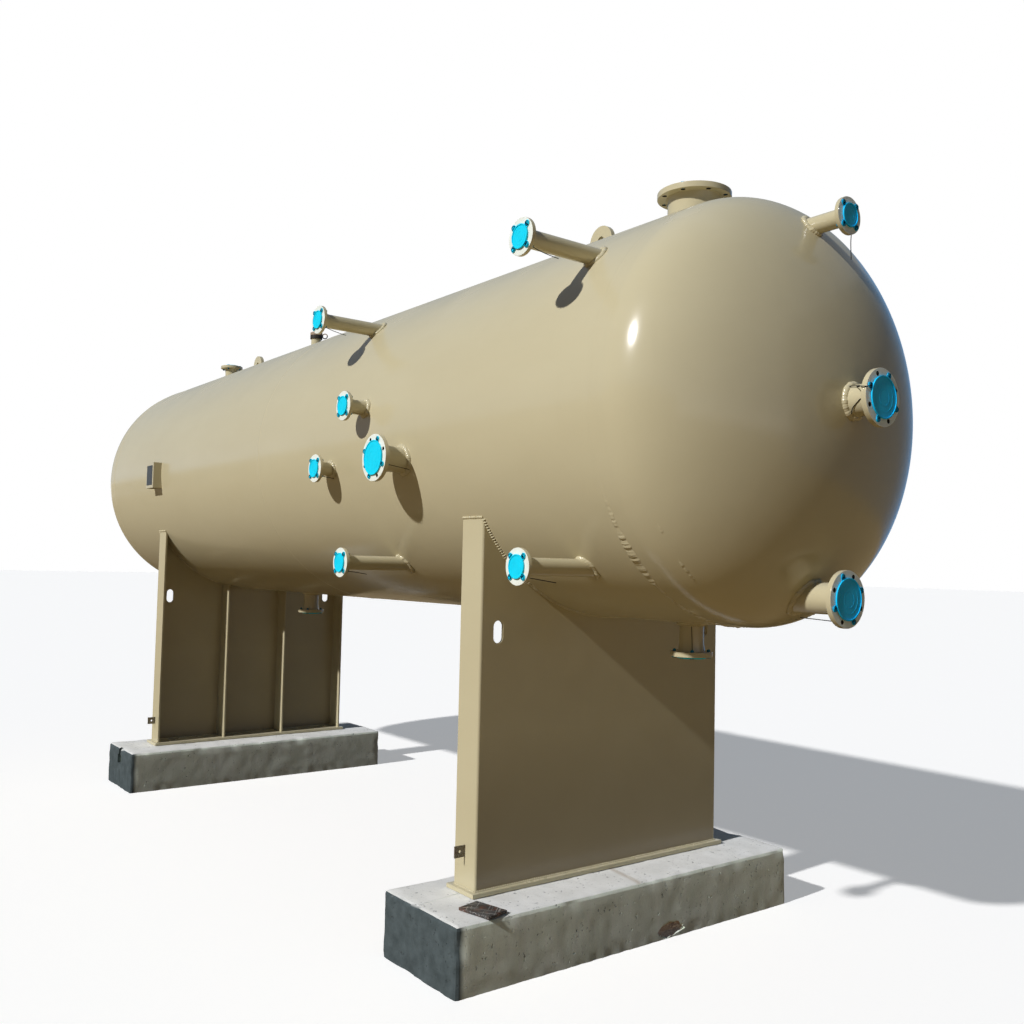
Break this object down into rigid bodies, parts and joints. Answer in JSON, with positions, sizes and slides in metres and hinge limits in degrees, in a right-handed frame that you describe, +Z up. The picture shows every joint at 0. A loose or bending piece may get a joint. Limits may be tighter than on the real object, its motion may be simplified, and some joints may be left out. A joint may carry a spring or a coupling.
{
  "type": "horizontal surge vessel on plate saddles",
  "caption": "Long horizontal steel pressure vessel with dished ends, flanged nozzles under plastic covers, lifting lugs and plate saddles on concrete sleepers.",
  "frame": {"origin": "on the ground, on the vessel's centreline, midway between the two concrete sleepers", "axes": "+X along the vessel towards the head with the nozzles, +Z up, side nozzles face -Y"},
  "size_m": [7.4007, 2.1452, 3.537],
  "materials": {
    "vessel_paint": "gloss beige paint",
    "cover_plastic": "moulded blue",
    "cap_plastic": "black push-on cap",
    "nameplate_steel": "plain dull plate",
    "packing_steel": "dark scaled steel",
    "concrete": "weathered cast concrete"
  },
  "bodies": {
    "root": {"bottom_flange_covers": "cover_plastic", "crown_flange_covers": "cover_plastic", "earthing_ear_far": "vessel_paint", "earthing_ear_near": "vessel_paint", "head_far": "vessel_paint", "head_flange_covers": "cover_plastic", "head_near": "vessel_paint", "lifting_lug_far": "vessel_paint", "lifting_lug_near": "vessel_paint", "loose_packing_plate": "packing_steel", "nameplate": "nameplate_steel", "nameplate_bracket": "vessel_paint", "nozzle_bottom_far": "vessel_paint", "nozzle_bottom_near": "vessel_paint", "nozzle_crown_large": "vessel_paint", "nozzle_crown_small": "vessel_paint", "nozzle_head_centre": "vessel_paint", "nozzle_head_lower": "vessel_paint", "nozzle_head_upper": "vessel_paint", "nozzle_side_large": "vessel_paint", "nozzle_side_lower_far": "vessel_paint", "nozzle_side_lower_near": "vessel_paint", "nozzle_side_middle_far": "vessel_paint", "nozzle_side_middle_near": "vessel_paint", "nozzle_side_upper_far": "vessel_paint", "nozzle_side_upper_near": "vessel_paint", "saddle_base_far": "vessel_paint", "saddle_base_near": "vessel_paint", "saddle_end_plates_far": "vessel_paint", "saddle_end_plates_near": "vessel_paint", "saddle_ribs_far": "vessel_paint", "saddle_ribs_near": "vessel_paint", "saddle_web_far": "vessel_paint", "saddle_web_near": "vessel_paint", "shell_far_course": "vessel_paint", "shell_near_course": "vessel_paint", "side_flange_covers": "cover_plastic", "sleeper_far": "concrete", "sleeper_near": "concrete", "vent_cap": "cap_plastic", "vent_coupling": "vessel_paint"}
  },
  "joints": []
}
